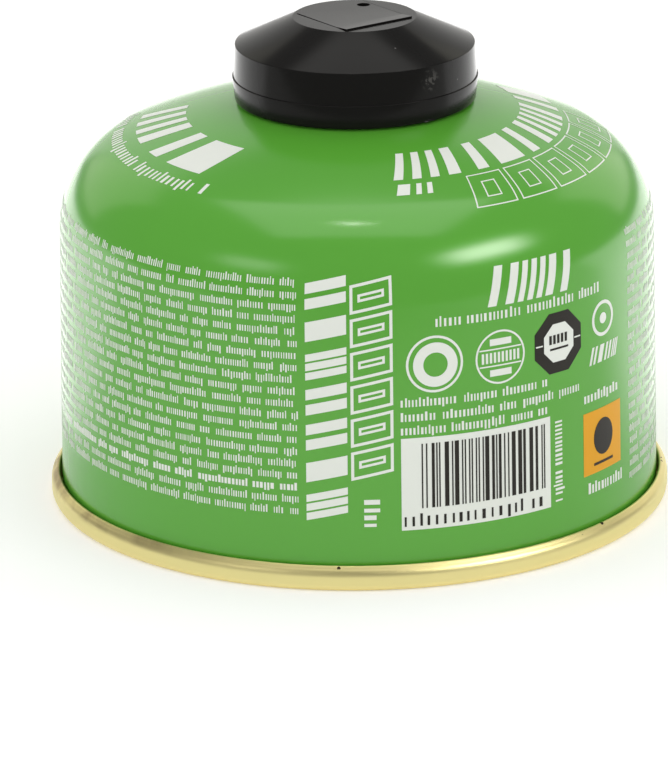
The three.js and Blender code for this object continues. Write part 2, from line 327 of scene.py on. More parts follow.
wallTilt = math.atan2(can["wallDraft"], can["wallTop"])
wallTopRadius = can["footRadius"] - can["wallDraft"]
shoulderCentre = (wallTopRadius - can["shoulder"] * math.cos(wallTilt),
                  can["wallTop"] - can["shoulder"] * math.sin(wallTilt))
domeNormal = math.pi / 2 - math.radians(can["domeSlope"])
domeStart = polar(shoulderCentre, can["shoulder"], domeNormal)
domeCentre = polar(domeStart, -can["dome"], domeNormal)
neckNormal = math.acos((can["lipOuter"] - domeCentre[0]) / can["dome"])
neckHeight = polar(domeCentre, can["dome"], neckNormal)[1]
lipTop = neckHeight + can["lipHeight"]
wallLength = math.hypot(can["wallDraft"], can["wallTop"] - can["footHeight"])
shoulderLength = can["shoulder"] * (domeNormal - wallTilt)

# Base end: the gold dished end, rolled up outside the can's foot

end = {"radius": 45, "height": 3.6, "edge": 0.95, "wall": 1.25, "channel": 1.85, "floor": 0.5, "foot": 0.4,
       "sheet": 0.45, "rise": 8.6, "shoulder": 3.7, "panel": 170, "crown": 1.6, "crownTurn": 50,
       "bead": 0.3, "knee": 0.5, "kneeDrop": 0.6, "steps": 240}

panelCentre = (0, end["rise"] - end["panel"])
channelOuter = end["radius"] - end["wall"]
channelInner = channelOuter - end["channel"]
legInner = channelInner - end["sheet"]
seat = 0.3


def addCan():
    innerPanel = end["panel"] + end["sheet"] + seat
    reach = math.acos((channelInner - end["sheet"]) / innerPanel)
    edge = channelInner + seat
    well = can["lipInner"] + can["bulge"]
    wellFloor = lipTop - can["wellDepth"]
    lipEdge = can["lipEdge"]
    profile = arc(panelCentre, innerPanel, math.pi / 2, reach, 12)
    profile += [(edge, end["shoulder"] + end["sheet"] + seat), (edge, can["footHeight"])]
    profile += [(can["footRadius"], can["footHeight"])]
    profile += arc(shoulderCentre, can["shoulder"], wallTilt, domeNormal, 28)
    profile += arc(domeCentre, can["dome"], domeNormal, neckNormal, 12)[1:]
    profile += arc((can["lipOuter"] - lipEdge, lipTop - lipEdge), lipEdge, 0, math.pi / 2, 6)
    profile += arc((can["lipInner"] + lipEdge, lipTop - lipEdge), lipEdge, math.pi / 2, math.pi, 6)
    bulgeStart, bulgeTop, bulgeFoot = (lipTop - depth for depth in can["bulgeDepths"])
    profile += [(can["lipInner"], bulgeStart), (well, bulgeTop), (well, bulgeFoot)]
    profile += [(can["lipInner"], wellFloor), (can["housingHole"], wellFloor)]
    profile += [(can["housingHole"], wellFloor - can["housingDrop"]), (0, wellFloor - can["housingFoot"])]
    shell = finished("canShell", spunShape(profile, can["steps"]), greenEnamel, "can")
    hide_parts("can_body")


def addEnd():
    reach = math.acos((legInner - end["sheet"]) / end["panel"])
    topReach = math.acos((channelInner - end["sheet"]) / (end["panel"] + end["sheet"]))
    low = (end["radius"] - end["edge"], end["edge"])
    high = (end["radius"] - end["crown"], end["height"] - end["crown"])
    bead = end["bead"]
    lip = (channelOuter + bead, end["height"] - bead)
    profile = arc(panelCentre, end["panel"], math.pi / 2, reach, 14)
    knee = (legInner - end["knee"], end["shoulder"] - end["kneeDrop"])
    profile += arc(knee, end["knee"], math.pi / 3, 0, 4)
    profile += arc((legInner + end["foot"], end["foot"]), end["foot"], math.pi, 1.5 * math.pi, 6)
    profile += arc(low, end["edge"], -math.pi / 2, 0, 8)
    profile += arc(high, end["crown"], 0, math.radians(end["crownTurn"]), 12)
    profile += arc(lip, bead, math.radians(end["crownTurn"]), math.pi, 8)
    profile += [(channelOuter, end["floor"]), (channelInner, end["floor"])]
    profile += [(channelInner, end["shoulder"] + end["sheet"])]
    profile += arc(panelCentre, end["panel"] + end["sheet"], topReach, math.pi / 2, 12)
    shell = finished("baseEndShell", spunShape(profile, end["steps"]), goldLacquer, "can", sharpAngle=50)
    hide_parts("base_end")


# Valve cup: the curl over the lip, the crimped wall, the floor and the boss with its thread

cup = {"sheet": 0.4, "gasket": 0.5, "skirt": 1.9, "curlEdge": 0.9, "boss": 5.55, "bossWall": 0.75,
       "bossHeight": 9.6, "roof": 0.5, "hole": 2.3, "threadDepth": 0.5, "pitch": 0.907, "turns": 7.6,
       "threadFoot": 1.7, "ridgeSink": 0.1, "ridgeTip": 0.06, "ridgeShare": 0.44, "stepsPerTurn": 48,
       "crimpDepth": 2.13, "crimpRise": 0.6, "crimpLean": 0.1, "crimpFoot": 0.35, "floorRound": 0.6,
       "coreRound": 0.5, "topRound": 0.3, "steps": 144}

curlTop = lipTop + cup["gasket"] + cup["sheet"]
curlOuter = can["lipOuter"] + seat + cup["sheet"]
cupInner = can["lipInner"] - seat - cup["sheet"]
cupFloor = lipTop - can["wellDepth"] + seat + cup["sheet"]
bossTop = cupFloor + cup["bossHeight"]


def addCup():
    sheet = cup["sheet"]
    curlUnder = curlTop - sheet
    crimpTop = lipTop - cup["crimpDepth"]
    crimpMiddle = crimpTop - cup["crimpRise"]
    crimpOuter = can["lipInner"] - seat + can["bulge"] - seat / 2
    curlEdge = cup["curlEdge"]
    core = cup["boss"] - cup["threadDepth"]
    profile = [(cup["hole"], bossTop - cup["roof"]), (cup["boss"] - cup["bossWall"], bossTop - cup["roof"])]
    profile += [(cup["boss"] - cup["bossWall"], cupFloor - sheet), (cupInner, cupFloor - sheet)]
    profile += [(crimpOuter - seat, crimpMiddle - cup["crimpRise"]), (crimpOuter, crimpMiddle)]
    profile += [(cupInner + sheet, crimpTop), (cupInner + sheet, curlUnder)]
    profile += [(curlOuter - sheet, curlUnder), (curlOuter - sheet, curlTop - cup["skirt"])]
    profile += arc((curlOuter - sheet / 2, curlTop - cup["skirt"]), sheet / 2, math.pi, 2 * math.pi, 6)
    profile += arc((curlOuter - curlEdge, curlTop - curlEdge), curlEdge, 0, math.pi / 2, 8)
    profile += arc((cupInner + curlEdge, curlTop - curlEdge), curlEdge, math.pi / 2, math.pi, 8)
    floorRound, coreRound, topRound = cup["floorRound"], cup["coreRound"], cup["topRound"]
    foot = cupInner - cup["crimpLean"]
    profile += [(cupInner, crimpTop), (crimpOuter - sheet, crimpMiddle), (foot, cupFloor + cup["crimpFoot"])]
    profile += arc((foot - floorRound, cupFloor + floorRound), floorRound, 0, -math.pi / 2, 6)
    profile += arc((core + coreRound, cupFloor + coreRound), coreRound, -math.pi / 2, -math.pi, 6)
    profile += arc((core - topRound, bossTop - topRound), topRound, 0, math.pi / 2, 6)
    profile += [(cup["hole"], bossTop)]
    shell = finished("valveCupShell", spunShape(profile, cup["steps"]), tinplate, "can")
    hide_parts("valve_cup")


def addThread():
    core = cup["boss"] - cup["threadDepth"] - cup["ridgeSink"]
    half = cup["pitch"] * cup["ridgeShare"]
    foot = cupFloor + cup["threadFoot"]
    tip = cup["ridgeTip"]
    ridge = [(core, foot - half), (cup["boss"], foot - tip), (cup["boss"], foot + tip), (core, foot + half)]
    shape = bmesh.new()
    corners = [shape.verts.new((radius * mm, 0, height * mm)) for radius, height in ridge]
    loop = [shape.edges.new(run) for run in zip(corners, corners[1:] + corners[:1])]
    steps = round(cup["turns"] * cup["stepsPerTurn"])
    bmesh.ops.spin(shape, geom=corners + loop, cent=(0, 0, 0), axis=(0, 0, 1), use_merge=False,
                   use_duplicate=False, dvec=(0, 0, cup["pitch"] * mm / cup["stepsPerTurn"]),
                   angle=2 * math.pi * cup["turns"], steps=steps)
    bmesh.ops.holes_fill(shape, edges=[edge for edge in shape.edges if edge.is_boundary], sides=4)
    thread = finished("bossThread", shape, tinplate, "can")


# Cap: bands, ledge, cone and flat top, with the square tongue and the vent

cap = {"clearance": 0.3, "wall": 0.95, "lean": 0.3, "foot": 0.45, "ledge": 3.5, "ledgeStep": 0.18,
       "band": 4.65, "bandLean": 0.28, "cone": 3.8, "top": 8.85, "roof": 1.1, "tongueRise": 0.22,
       "tongueWidth": 11.5, "tongueDepth": 11.9, "tongueTurn": 36, "tongueLip": 2.6, "groove": 0.13,
       "grooveDepth": 0.3, "grooveEnd": 0.3, "grooveSpread": 2.4, "vent": 0.95, "ventPlace": (1.3, 5.9),
       "ventDepth": 6, "tongueSkin": 0.02, "lipReach": 0.1, "mouth": 0.2, "ledgeDip": 0.03, "ledgeFoot": 0.05,
       "ledgeRound": 0.12, "bandRound": 0.1, "flash": (1.1, 0.16, 0.24), "flashTurn": 37, "flashRise": 0.32,
       "flashSink": 0.08, "steps": 240}

capNormal = math.acos((curlOuter + cap["wall"] - domeCentre[0]) / can["dome"])
capFoot = polar(domeCentre, can["dome"], capNormal)[1] + seat
capBore = curlOuter + cap["clearance"]
ledgeRadius = capBore + cap["wall"] + cap["lean"] / 2
ledge = capFoot + cap["ledge"]
bandFoot = ledgeRadius - cap["ledgeStep"]
bandTopRadius = bandFoot - cap["bandLean"]
bandTop = ledge + cap["band"]
capTop = bandTop + cap["cone"]


def cutBy(piece, cutter, operation):
    change = piece.modifiers.new(cutter.name, "BOOLEAN")
    change.operation = operation
    change.object = cutter
    change.solver = "EXACT"
    graph = bpy.context.evaluated_depsgraph_get()
    mesh = bpy.data.meshes.new_from_object(piece.evaluated_get(graph))
    piece.modifiers.clear()
    piece.data = mesh
    bpy.data.objects.remove(cutter)


def looseObject(name, shape):
    mesh = bpy.data.meshes.new(name)
    shape.to_mesh(mesh)
    shape.free()
    item = bpy.data.objects.new(name, mesh)
    bpy.context.scene.collection.objects.link(item)
    return item


def turned(shape, degrees):
    turn = Matrix.Rotation(math.radians(degrees), 3, "Z")
    bmesh.ops.rotate(shape, cent=(0, 0, 0), matrix=turn, verts=shape.verts)


def tongueShape():
    shape = bmesh.new()
    bmesh.ops.create_cube(shape, size=1)
    size = (cap["tongueWidth"] * mm, cap["tongueDepth"] * mm, cap["roof"] * mm)
    bmesh.ops.scale(shape, vec=size, verts=shape.verts)
    middle = (0, 0, (capTop + cap["tongueSkin"] - cap["roof"] / 2) * mm)
    bmesh.ops.translate(shape, vec=middle, verts=shape.verts)
    lipStart = Vector((0, (cap["tongueLip"] - cap["tongueDepth"] / 2) * mm, 0))
    everything = shape.verts[:] + shape.edges[:] + shape.faces[:]
    bmesh.ops.bisect_plane(shape, geom=everything, dist=1e-7, plane_co=lipStart, plane_no=(0, 1, 0))
    tip = (cap["lipReach"] - cap["tongueDepth"] / 2) * mm
    for corner in shape.verts:
        if corner.co.z > capTop * mm and corner.co.y < tip:
            corner.co.z += (cap["tongueRise"] - cap["tongueSkin"]) * mm
    turned(shape, cap["tongueTurn"])
    return looseObject("tongue", shape)


# The fine lines along the tongue's two long sides

def grooveCutter(side):
    shape = bmesh.new()
    bmesh.ops.create_cube(shape, size=1)
    size = (cap["groove"] * mm, (cap["tongueDepth"] - 2 * cap["grooveEnd"]) * mm, cap["grooveDepth"] * 2 * mm)
    bmesh.ops.scale(shape, vec=size, verts=shape.verts)
    for corner in shape.verts:
        if corner.co.y > 0 and side < 0:
            corner.co.x *= cap["grooveSpread"]
    place = (side * (cap["tongueWidth"] / 2 + cap["groove"] / 2) * mm, cap["grooveEnd"] * mm, capTop * mm)
    bmesh.ops.translate(shape, vec=place, verts=shape.verts)
    turned(shape, cap["tongueTurn"])
    return looseObject("groove", shape)


def ventCutter():
    shape = bmesh.new()
    bmesh.ops.create_cone(shape, cap_ends=True, segments=40, radius1=cap["vent"] * mm,
                          radius2=cap["vent"] * mm, depth=cap["ventDepth"] * mm)
    place = Vector((*cap["ventPlace"], capTop)) * mm
    bmesh.ops.translate(shape, vec=place, verts=shape.verts)
    return looseObject("vent", shape)


def addCap():
    slope = math.atan2(cap["cone"], bandTopRadius - cap["top"])
    bandBore = bandTopRadius - cap["wall"]
    coneFoot = bandTop - cap["wall"] * math.tan(slope / 2)
    roofUnder = capTop - cap["roof"]
    roofRadius = bandBore - (roofUnder - coneFoot) / math.tan(slope)
    foot = cap["foot"]
    footRadius = ledgeRadius - cap["lean"]
    profile = [(0, roofUnder), (roofRadius, roofUnder), (bandBore, coneFoot), (capBore, curlTop)]
    profile += [(capBore, capFoot + cap["mouth"]), (capBore + cap["mouth"], capFoot)]
    profile += arc((footRadius - foot, capFoot + foot), foot, -math.pi / 2, 0, 6)
    ledgeRound, bandRound = cap["ledgeRound"], cap["bandRound"]
    profile += arc((ledgeRadius - ledgeRound, ledge - ledgeRound), ledgeRound, 0, math.pi / 2, 4)
    profile += [(bandFoot, ledge - cap["ledgeDip"]), (bandFoot, ledge + cap["ledgeFoot"])]
    profile += arc((bandTopRadius - bandRound, bandTop - bandRound), bandRound, 0, math.pi / 2 - slope, 4)
    profile += [(cap["top"], capTop), (0, capTop)]
    shell = finished("capShell", spunShape(profile, cap["steps"]), blackPolyethylene, "cap", sharpAngle=20)
    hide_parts("cap")
    return shell


# The scrap of moulding flash on the cap's foot, right of the front

def addFlash():
    chance = random.Random(5)
    shape = bmesh.new()
    bmesh.ops.create_icosphere(shape, subdivisions=3, radius=1)
    for corner in shape.verts:
        corner.co *= chance.uniform(0.72, 1.15)
    bmesh.ops.scale(shape, vec=Vector(cap["flash"]) * mm, verts=shape.verts)
    place = (0, (cap["lean"] + cap["flashSink"] - ledgeRadius) * mm, (capFoot + cap["flashRise"]) * mm)
    bmesh.ops.translate(shape, vec=place, verts=shape.verts)
    turned(shape, cap["flashTurn"])
    flash = finished("footFlash", shape, blackPolyethylene, "cap")


# Print: thin raised ink, drawn flat as angle in degrees and run in mm up the wall and over the dome

ink = {"lift": 0.01, "thickness": 0.025, "angleStep": 1.5, "runStep": 1.0, "fine": (0.15, 0.2),
       "heavy": (0.32, 0.17), "ragged": 0.6}
degreesPerMm = math.degrees(1 / (can["footRadius"] - can["wallDraft"] / 2))


def skin(angle, run, lift):
    if run < wallLength:
        share = run / wallLength
        radius = can["footRadius"] - can["wallDraft"] * share
        height = can["footHeight"] + (can["wallTop"] - can["footHeight"]) * share
        normal = wallTilt
    elif run < wallLength + shoulderLength:
        normal = wallTilt + (run - wallLength) / can["shoulder"]
        radius, height = polar(shoulderCentre, can["shoulder"], normal)
    else:
        normal = domeNormal + (run - wallLength - shoulderLength) / can["dome"]
        radius, height = polar(domeCentre, can["dome"], normal)
    radius += lift * math.cos(normal)
    height += lift * math.sin(normal)
    turn = math.radians(angle)
    return Vector((radius * math.sin(turn), -radius * math.cos(turn), height)) * mm


def addPrint(name, outlines, material, layer=0):
    shape = bmesh.new()
    for outline in outlines:
        shape.faces.new([shape.verts.new((angle, run, 0)) for angle, run in outline])
    lows = [min(v.co[k] for v in shape.verts) for k in (0, 1)]
    highs = [max(v.co[k] for v in shape.verts) for k in (0, 1)]
    for k, step in ((0, ink["angleStep"]), (1, ink["runStep"])):
        normal = Vector((1 - k, k, 0))
        place = math.floor(lows[k] / step) * step + step
        while place < highs[k]:
            if k == 0 or place > wallLength - 1:
                everything = shape.verts[:] + shape.edges[:] + shape.faces[:]
                bmesh.ops.bisect_plane(shape, geom=everything, dist=1e-6, plane_co=normal * place,
                                       plane_no=normal)
            place += step
    top = bmesh.ops.extrude_face_region(shape, geom=shape.faces[:])
    raised = [v for v in top["geom"] if isinstance(v, bmesh.types.BMVert)]
    bmesh.ops.translate(shape, vec=(0, 0, 1), verts=raised)
    base = ink["lift"] + layer * (ink["thickness"] + ink["lift"])
    for corner in shape.verts:
        corner.co = skin(corner.co.x, corner.co.y, base + corner.co.z * ink["thickness"])
    return finished(name, shape, material, "can")


# Flat shapes: a bar, the sides of a shape with a hole, a box with a second one inside it and a circle

def bar(x0, x1, y0, y1, slant=0):
    return [(x0 + slant * y0, y0), (x1 + slant * y0, y0), (x1 + slant * y1, y1), (x0 + slant * y1, y1)]


def hollow(outer, inner):
    count = len(outer)
    return [[outer[i], outer[(i + 1) % count], inner[(i + 1) % count], inner[i]] for i in range(count)]


def inset(x0, x1, y0, y1, slant, stroke):
    return hollow(bar(x0, x1, y0, y1, slant),
                  bar(x0 + stroke, x1 - stroke, y0 + stroke, y1 - stroke, slant))


def framedBox(x, part, innerStroke):
    right = x + part["width"]
    height = part["height"]
    inX, inY = part["inset"]
    outer = inset(x, right, 0, height, part["slant"], part["stroke"])
    return outer + inset(x + inX, right - inX, inY, height - inY, part["slant"], innerStroke)


def circle(x, y, radius, steps=40, stretch=1):
    turns = [2 * math.pi * i / steps for i in range(steps)]
    return [(x + radius * stretch * math.cos(turn), y + radius * math.sin(turn)) for turn in turns]


# Puts flat shapes in mm on the can: x runs round it from an angle, y up the wall and over the shoulder

def placed(shapes, angle, run, degrees=degreesPerMm, down=False):
    if down:
        return [[(angle + y * degrees, run - x) for x, y in shape] for shape in shapes]
    return [[(angle + x * degrees, run + y) for x, y in shape] for shape in shapes]


# A row of heavy blocks in three plain kinds: a pair of slanted bars, one broad bar and three narrow ones

blocks = {"margin": 0.12, "narrow": 0.7}


def blockRow(count, pitch, width, height, stroke, slant=0.3, kinds=(0, 1, 2, 0)):
    shapes = []
    for i in range(count):
        x = i * pitch
        kind = kinds[i % len(kinds)]
        if kind == 0:
            shapes.append(bar(x, x + stroke, 0, height, slant))
            shapes.append(bar(x + width - stroke, x + width, 0, height, slant))
        elif kind == 1:
            margin = width * blocks["margin"]
            shapes.append(bar(x + margin, x + width - margin, 0, height, slant))
        else:
            narrow = stroke * blocks["narrow"]
            for share in (0, 0.5, 1):
                start = x + share * (width - narrow)
                shapes.append(bar(start, start + narrow, 0, height, slant))
    return shapes


# Fine rows: short upright ticks in groups of uneven length, some taller and some lower than the rest

ticking = {"group": (4, 16), "stroke": (0.8, 1.5), "gap": (0.8, 1.25), "break": (0.7, 1.2), "tallFrom": 0.82,
           "tall": 1.3, "lowFrom": 0.74, "low": 0.28}


def tickRow(chance, length, height, stroke=0.22, gap=0.2, slant=0.0, breakGap=0.75):
    shapes = []
    x = 0
    while x < length:
        for i in range(chance.randint(*ticking["group"])):
            width = stroke * chance.uniform(*ticking["stroke"])
            if x + width > length:
                return shapes
            low, high = 0, height
            pick = chance.random()
            if pick > ticking["tallFrom"]:
                high = height * ticking["tall"]
            elif pick > ticking["lowFrom"]:
                low = -height * ticking["low"]
            shapes.append(bar(x, x + width, low, high, slant))
            x += width + gap * chance.uniform(*ticking["gap"])
        x += breakGap * chance.uniform(*ticking["break"])
    return shapes


wallPrint = {
    "boldStrip": {"angle": -9.8, "run": 43.3, "count": 7, "pitch": 5.08, "width": 3.7, "height": 5.75,
                  "stroke": 1.5},
    "outlineStrip": {"angle": -1.5, "run": 43.1, "count": 6, "pitch": 4.8, "width": 4.1, "height": 5.9,
                     "stroke": 0.42, "slant": -0.22, "inset": (1.5, 1.1), "insetStroke": 0.36},
    "endTicks": {"angle": 0.8, "run": 12.2, "length": 4.4, "height": 1.7},
    "leftRows": {"from": -95, "to": -11.6, "low": 9.9, "rows": 20, "pitch": 1.735, "height": 0.86},
    "rightRows": {"from": 62.5, "to": 99, "low": 6.6, "rows": 22, "pitch": 1.72, "height": 0.84},
    "topBlocks": {"angle": 24.7, "run": 38.6, "count": 3, "pitch": 4.75, "width": 4.1, "height": 5.6,
                  "stroke": 1.35},
    "fineRow": {"angle": 14.4, "run": 36.7, "to": 52.6, "height": 1.15},
    "midRows": ((7.7, 25.45, 38), (7.7, 23.35, 46.2), (7.7, 21.4, 38)),
    "panel": {"from": 7.7, "to": 38.2, "low": 7.5, "high": 20.9, "barsFrom": 11.5, "barsTo": 37.2,
              "barsLow": 10.6, "margin": 0.9, "widths": (0.2, 0.2, 0.2, 0.42, 0.62),
              "gaps": (0.2, 0.22, 0.42, 0.62), "ticksAt": (0.4, 0.55), "ticksHeight": 1.4},
    "edgeRow": {"angle": 39.4, "run": 19.9, "length": 12, "height": 1.3},
    "square": {"from": 46.9, "to": 59, "low": 10.2, "high": 19.5, "dot": 2.7, "dotStretch": 0.85,
               "dotRise": 0.4, "rule": (2.3, 1.1, 1.5), "rowLength": 8.6,
               "rows": ((1.1, 0.33, 0.34, 47.2, 21), (1.25, 0.36, 0.36, 48.2, 7.4))},
}

# On the dome each row has its own degrees per mm, from the radius where it lies

domePrint = {
    "leftBlocks": {"angle": -103, "run": 58.7, "count": 3, "pitch": 10.2, "width": 8.6, "height": 7.6,
                   "stroke": 2.4, "degrees": 57.3 / 27.2},
    "leftRow": {"angle": -110, "run": 54.9, "length": 44, "height": 1.7, "degrees": 57.3 / 34.5},
    "rightBlocks": {"angle": 10, "run": 60.7, "count": 7, "pitch": 7.4, "width": 6.1, "height": 6.4,
                    "stroke": 1.75, "degrees": 57.3 / 26.8},
    "endBlocks": {"angle": 9.2, "run": 57.2, "count": 2, "pitch": 2.9, "width": 2.3, "height": 2.4,
                  "stroke": 0.75, "degrees": 57.3 / 31},
    "outline": {"angle": 27, "run": 53, "count": 6, "pitch": 7.2, "width": 6.4, "height": 6.8, "stroke": 0.2,
                "slant": 0.25, "inset": (2, 1.7), "degrees": 57.3 / 34},
}


def addBlocks(name, part, degrees=degreesPerMm, down=False, slant=0.25, kinds=(0, 1, 2, 0)):
    row = blockRow(part["count"], part["pitch"], part["width"], part["height"], part["stroke"], slant, kinds)
    addPrint(name, placed(row, part["angle"], part["run"], degrees, down), whiteInk)


def addRows(name, part, chance, heavyRow=None):
    shapes = []
    length = (part["to"] - part["from"]) / degreesPerMm
    for i in range(part["rows"]):
        stroke, gap = ink["heavy"] if i == heavyRow else ink["fine"]
        row = tickRow(chance, length, part["height"], stroke, gap)
        start = part["from"] + chance.uniform(0, ink["ragged"])
        shapes += placed(row, start, part["low"] + i * part["pitch"])
    addPrint(name, shapes, whiteInk)


def addWallPrint():
    chance = random.Random(11)
    addBlocks("boldStrip", wallPrint["boldStrip"], down=True, slant=-0.22)
    outline = wallPrint["outlineStrip"]
    row = []
    for i in range(outline["count"]):
        x = i * outline["pitch"]
        row += framedBox(x, outline, outline["insetStroke"])
    addPrint("outlineStrip", placed(row, outline["angle"], outline["run"], down=True), whiteInk)
    ticks = wallPrint["endTicks"]
    row = tickRow(chance, ticks["length"], ticks["height"], stroke=0.5, gap=0.5)
    addPrint("endTicks", placed(row, ticks["angle"], ticks["run"], down=True), whiteInk)
    addRows("leftRows", wallPrint["leftRows"], chance, heavyRow=2)
    addRows("rightRows", wallPrint["rightRows"], chance)
    addBlocks("topBlocks", wallPrint["topBlocks"], kinds=(0, 2, 0))
    ticks = wallPrint["fineRow"]
    length = (ticks["to"] - ticks["angle"]) / degreesPerMm
    row = tickRow(chance, length, ticks["height"], stroke=0.27, gap=0.36)
    addPrint("fineRow", placed(row, ticks["angle"], ticks["run"]), whiteInk)
    shapes = []
    for start, run, stop in wallPrint["midRows"]:
        row = tickRow(chance, (stop - start) / degreesPerMm, 1, stroke=0.24, gap=0.26, breakGap=0.8)
        shapes += placed(row, start, run)
    addPrint("midRows", shapes, whiteInk)
    ticks = wallPrint["edgeRow"]
    row = tickRow(chance, ticks["length"], ticks["height"], stroke=0.26, gap=0.28)
    addPrint("edgeRow", placed(row, ticks["angle"], ticks["run"], down=True), whiteInk)


badges = {
    "ring": {"place": (14.2, 31.4), "rim": (4.1, 3.75), "band": (3.2, 1.75), "shift": 0.1},
    "bars": {"place": (27.3, 31.2), "rim": (3.9, 3.62), "rule": (3.3, 1.1, 1.3), "block": (1.7, 1.75, 2.7),
             "count": 10, "pitch": 0.62, "from": -2.95, "to": -2.6, "half": 0.75},
    "dark": {"place": (40.6, 31.4), "plate": 4.75, "centre": 3, "tab": (4.2, 0.1), "count": 5, "pitch": 0.72,
             "from": -1.85, "to": -1.4, "low": -0.1, "high": 1.2, "rule": (1.7, -1, -0.7)},
    "dot": {"place": (53.2, 32.6), "rim": (2.6, 2.1), "centre": 0.8},
    "blocks": {"angle": 48.8, "run": 26.3, "count": 4, "pitch": 1.72, "width": 1.3, "height": 2.5,
               "stroke": 0.45},
}


def octagon(radius):
    return [polar((0, 0), radius, math.pi * (i / 4 + 1 / 8)) for i in range(8)]


def addBadges():
    badge = badges["ring"]
    shift = badge["shift"]
    outer, inner = badge["rim"]
    rings = hollow(circle(0, 0, outer), circle(0, 0, inner))
    outer, inner = badge["band"]
    rings += hollow(circle(shift, -shift, outer), circle(shift, -shift, inner))
    addPrint("ringBadge", placed(rings, *badge["place"]), whiteInk)

    badge = badges["bars"]
    outer, inner = badge["rim"]
    half, low, high = badge["rule"]
    rings = hollow(circle(0, 0, outer), circle(0, 0, inner))
    rings += [bar(-half, half, low, high), bar(-half, half, -high, -low)]
    for i in range(badge["count"]):
        x = badge["pitch"] * i
        rings.append(bar(x + badge["from"], x + badge["to"], -badge["half"], badge["half"]))
    half, low, high = badge["block"]
    rings += [bar(-half, half, low, high), bar(-half, half, -high, -low)]
    addPrint("barBadge", placed(rings, *badge["place"]), whiteInk)

    badge = badges["dark"]
    addPrint("darkBadge", placed([octagon(badge["plate"])], *badge["place"]), darkInk)
    reach, half = badge["tab"]
    rings = [octagon(badge["centre"])]
    rings += [bar(-reach, -badge["centre"], -half, half), bar(badge["centre"], reach, -half, half)]
    addPrint("darkBadgeCentre", placed(rings, *badge["place"]), whiteInk, layer=1)
    bars = []
    for i in range(badge["count"]):
        x = badge["pitch"] * i
        bars.append(bar(x + badge["from"], x + badge["to"], badge["low"], badge["high"]))
    half, low, high = badge["rule"]
    bars.append(bar(-half, half, low, high))
    addPrint("darkBadgeBars", placed(bars, *badge["place"]), darkInk, layer=2)

    badge = badges["dot"]
    outer, inner = badge["rim"]
    rings = hollow(circle(0, 0, outer), circle(0, 0, inner)) + [circle(0, 0, badge["centre"], 24)]
    addPrint("smallRing", placed(rings, *badge["place"]), whiteInk)
    addBlocks("lowBlocks", badges["blocks"], slant=0.3, kinds=(0, 1, 0, 2))


def addPanel():
    panel = wallPrint["panel"]
    chance = random.Random(4)
    width = (panel["to"] - panel["from"]) / degreesPerMm
    plate = [bar(0, width, 0, panel["high"] - panel["low"])]
    addPrint("stripePanel", placed(plate, panel["from"], panel["low"]), whiteInk)
    stripes = []
    x = (panel["barsFrom"] - panel["from"]) / degreesPerMm
    last = (panel["barsTo"] - panel["from"]) / degreesPerMm
    low = panel["barsLow"] - panel["low"]
    while x < last:
        width = chance.choice(panel["widths"])
        stripes.append(bar(x, x + width, low, panel["high"] - panel["low"] - panel["margin"]))
        x += width + chance.choice(panel["gaps"])
    right, up = panel["ticksAt"]
    ticks = tickRow(chance, last - right, panel["ticksHeight"], stroke=0.34, gap=0.75, breakGap=1.2)
    stripes += [[(x + right, y + up) for x, y in shape] for shape in ticks]
    addPrint("stripes", placed(stripes, panel["from"], panel["low"]), darkInk, layer=1)


def addSquare():
    square = wallPrint["square"]
    chance = random.Random(9)
    width = (square["to"] - square["from"]) / degreesPerMm
    height = square["high"] - square["low"]
    plate = [bar(0, width, 0, height)]
    addPrint("orangeSquare", placed(plate, square["from"], square["low"]), orangeInk)
    centre = height / 2 + square["dotRise"]
    half, low, high = square["rule"]
    marks = [circle(width / 2, centre, square["dot"], 28, stretch=square["dotStretch"])]
    marks.append(bar(width / 2 - half, width / 2 + half, low, high))
    addPrint("squareMarks", placed(marks, square["from"], square["low"]), darkInk, layer=1)
    shapes = []
    for height, stroke, gap, angle, run in square["rows"]:
        shapes += placed(tickRow(chance, square["rowLength"], height, stroke, gap), angle, run)
    addPrint("squareRows", shapes, whiteInk)


def addDomePrint():
    chance = random.Random(21)
    part = domePrint["leftBlocks"]
    addBlocks("domeLeftBlocks", part, degrees=part["degrees"], kinds=(2, 0, 1))
    part = domePrint["leftRow"]
    row = tickRow(chance, part["length"], part["height"], stroke=0.42, gap=0.6, breakGap=1.2)
    addPrint("domeLeftRow", placed(row, part["angle"], part["run"], part["degrees"]), whiteInk)
    part = domePrint["rightBlocks"]
    addBlocks("domeRightBlocks", part, degrees=part["degrees"], kinds=(2, 0, 1, 0))
    part = domePrint["endBlocks"]
    addBlocks("domeEndBlocks", part, degrees=part["degrees"], kinds=(1, 0))
    part = domePrint["outline"]
    row = []
    for i in range(part["count"]):
        x = i * part["pitch"]
        row += framedBox(x, part, part["stroke"])
    addPrint("domeOutline", placed(row, part["angle"], part["run"], part["degrees"]), whiteInk)


addCamera()
addCan()
addEnd()
addCup()
addThread()
capShell = addCap()
cutBy(capShell, tongueShape(), "UNION")
cutBy(capShell, grooveCutter(-1), "DIFFERENCE")
cutBy(capShell, grooveCutter(1), "DIFFERENCE")
cutBy(capShell, ventCutter(), "DIFFERENCE")
capShell.data.shade_smooth()
capShell.data.set_sharp_from_angle(angle=math.radians(20))
addFlash()
finishes = {"cup_gasket": blackRubber, "valve_seal": blackRubber, "valve_housing": ivoryAcetal,
            "valve_stem": ivoryAcetal, "valve_spring": springWire}
for nodeName, material in finishes.items():
    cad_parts[nodeName].data.materials.clear()
    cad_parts[nodeName].data.materials.append(material)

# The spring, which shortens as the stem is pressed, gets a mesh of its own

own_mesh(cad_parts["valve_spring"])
print("shells made")
addWallPrint()
addBadges()
addPanel()
addSquare()
addDomePrint()
print("print made")


# Studio, not part of the can: a white floor, a grey surround and soft boxes with faded edges

